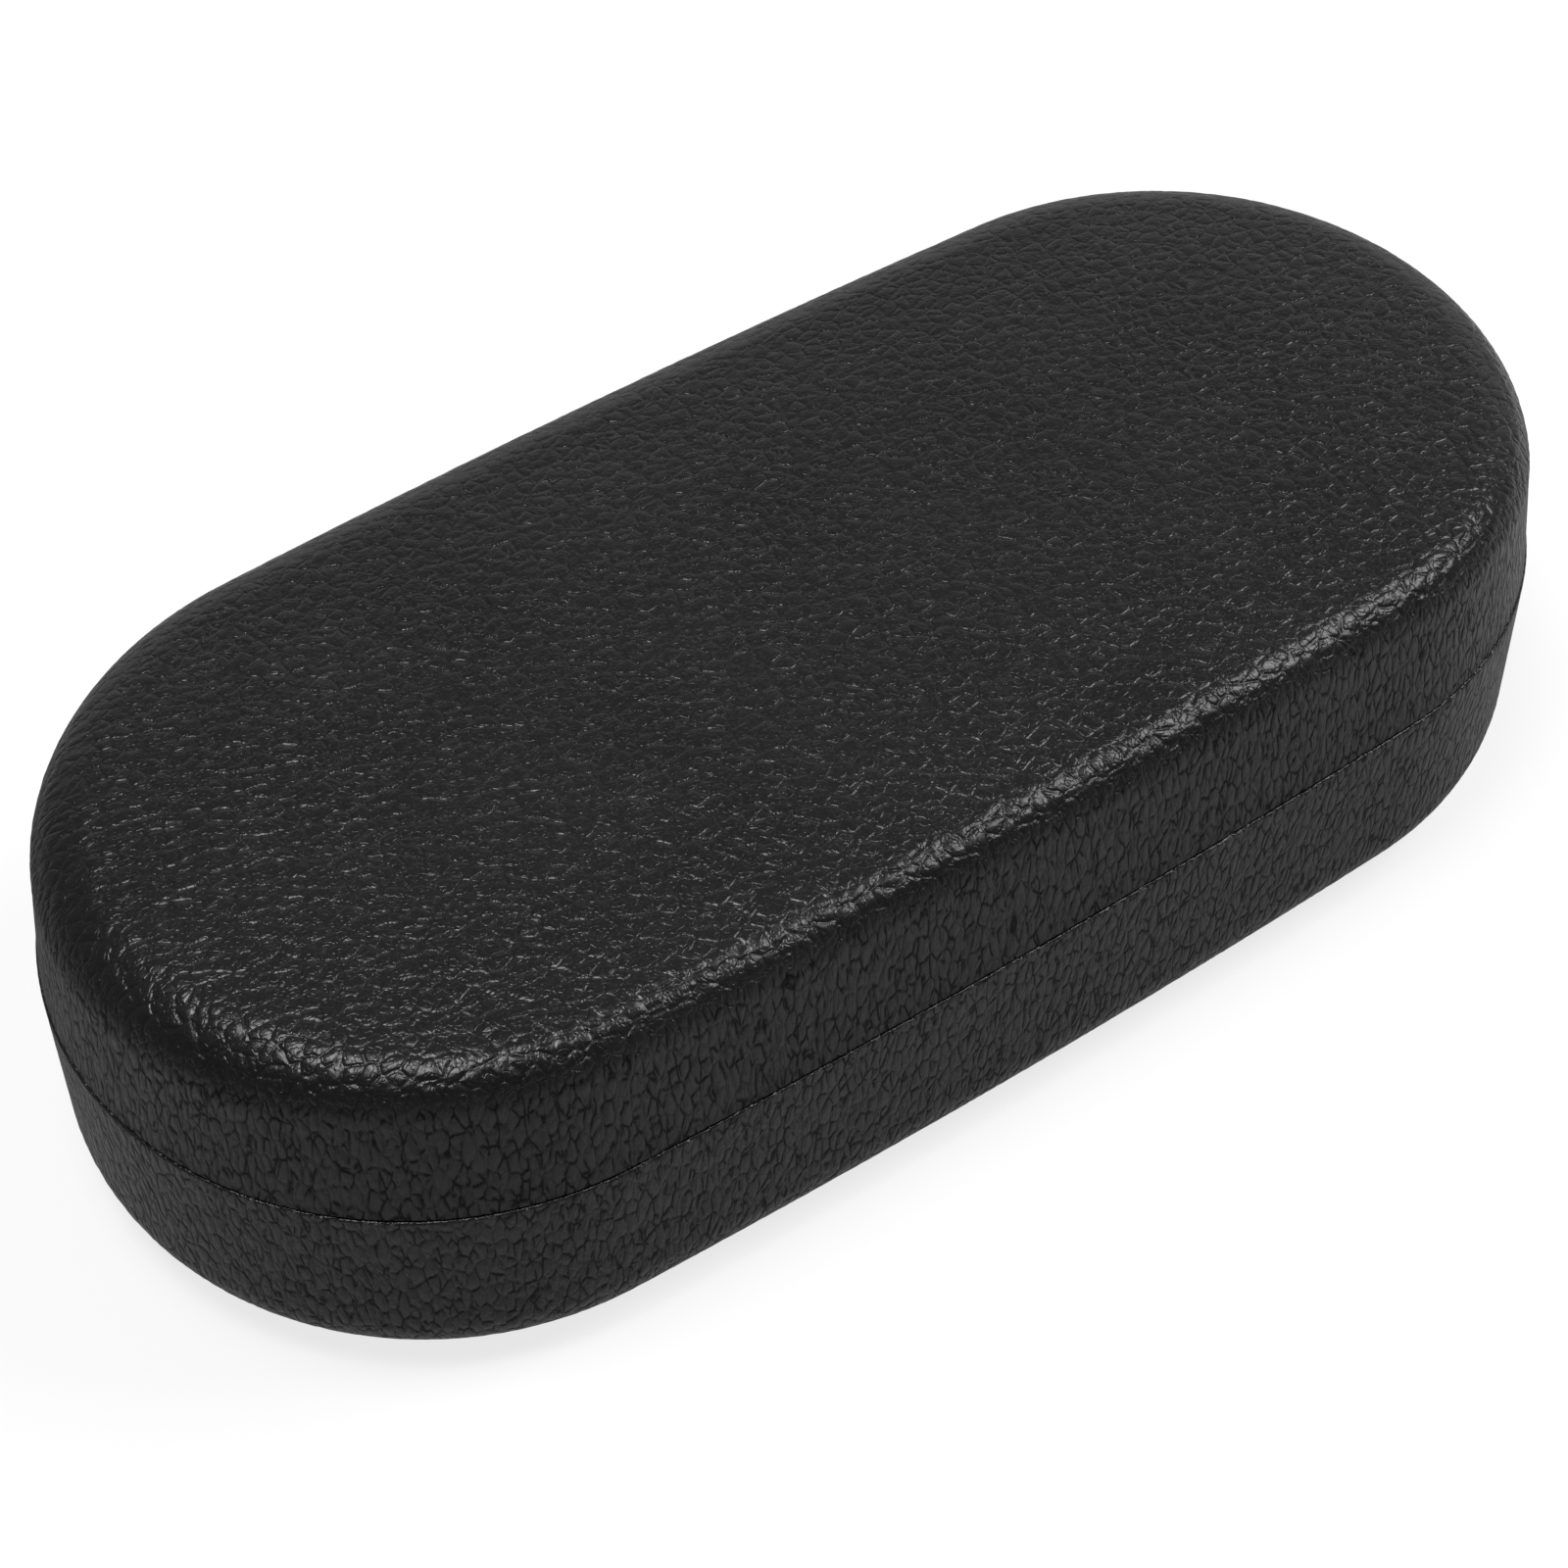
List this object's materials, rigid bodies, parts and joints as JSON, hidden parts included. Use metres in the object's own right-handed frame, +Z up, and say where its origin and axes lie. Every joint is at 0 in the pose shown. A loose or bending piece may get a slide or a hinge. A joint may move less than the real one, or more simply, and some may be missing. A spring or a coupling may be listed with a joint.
{
  "type": "eyeglasses case",
  "caption": "Hard clamshell eyeglasses case, a long oval with a flat top, covered in pebbled leather and lined inside, with a sprung hinge at the back.",
  "frame": {"origin": "centre of the flat underside, which the closed case stands on", "axes": "+X along the length, +Y towards the hinge at the back, +Z up; the lid opens at the front, -Y"},
  "size_m": [0.165, 0.0793, 0.0412],
  "materials": {
    "leather": "matte pebbled imitation leather",
    "steel": "zinc-coated drawn sheet steel",
    "foam": "open-cell foam",
    "velour": "flocked velour",
    "hinge_steel": "nickel-plated stamped steel",
    "spring_steel": "blued spring steel"
  },
  "bodies": {
    "base": {"base_cover": "leather", "base_shell": "steel", "base_foam": "foam", "base_lining": "velour", "hinge_leaf_base": "hinge_steel", "hinge_rivets_base": "hinge_steel", "hinge_pin": "hinge_steel", "snap_spring_left": "spring_steel", "snap_spring_right": "spring_steel", "hinge_lining_strip": "velour", "hinge_cover_strip": "leather"},
    "lid": {"lid_cover": "leather", "lid_shell": "steel", "lid_foam": "foam", "lid_lining": "velour", "hinge_leaf_lid": "hinge_steel", "hinge_rivets_lid": "hinge_steel"}
  },
  "joints": [
    {"name": "lid_hinge", "type": "hinge", "parent": "base", "child": "lid", "pos_m": [0, 0.0382, 0.0244], "axis": [-1, 0, 0], "range_deg": [0, 100], "deforming": ["snap_spring_left", "snap_spring_right", "hinge_lining_strip", "hinge_cover_strip"]}
  ]
}
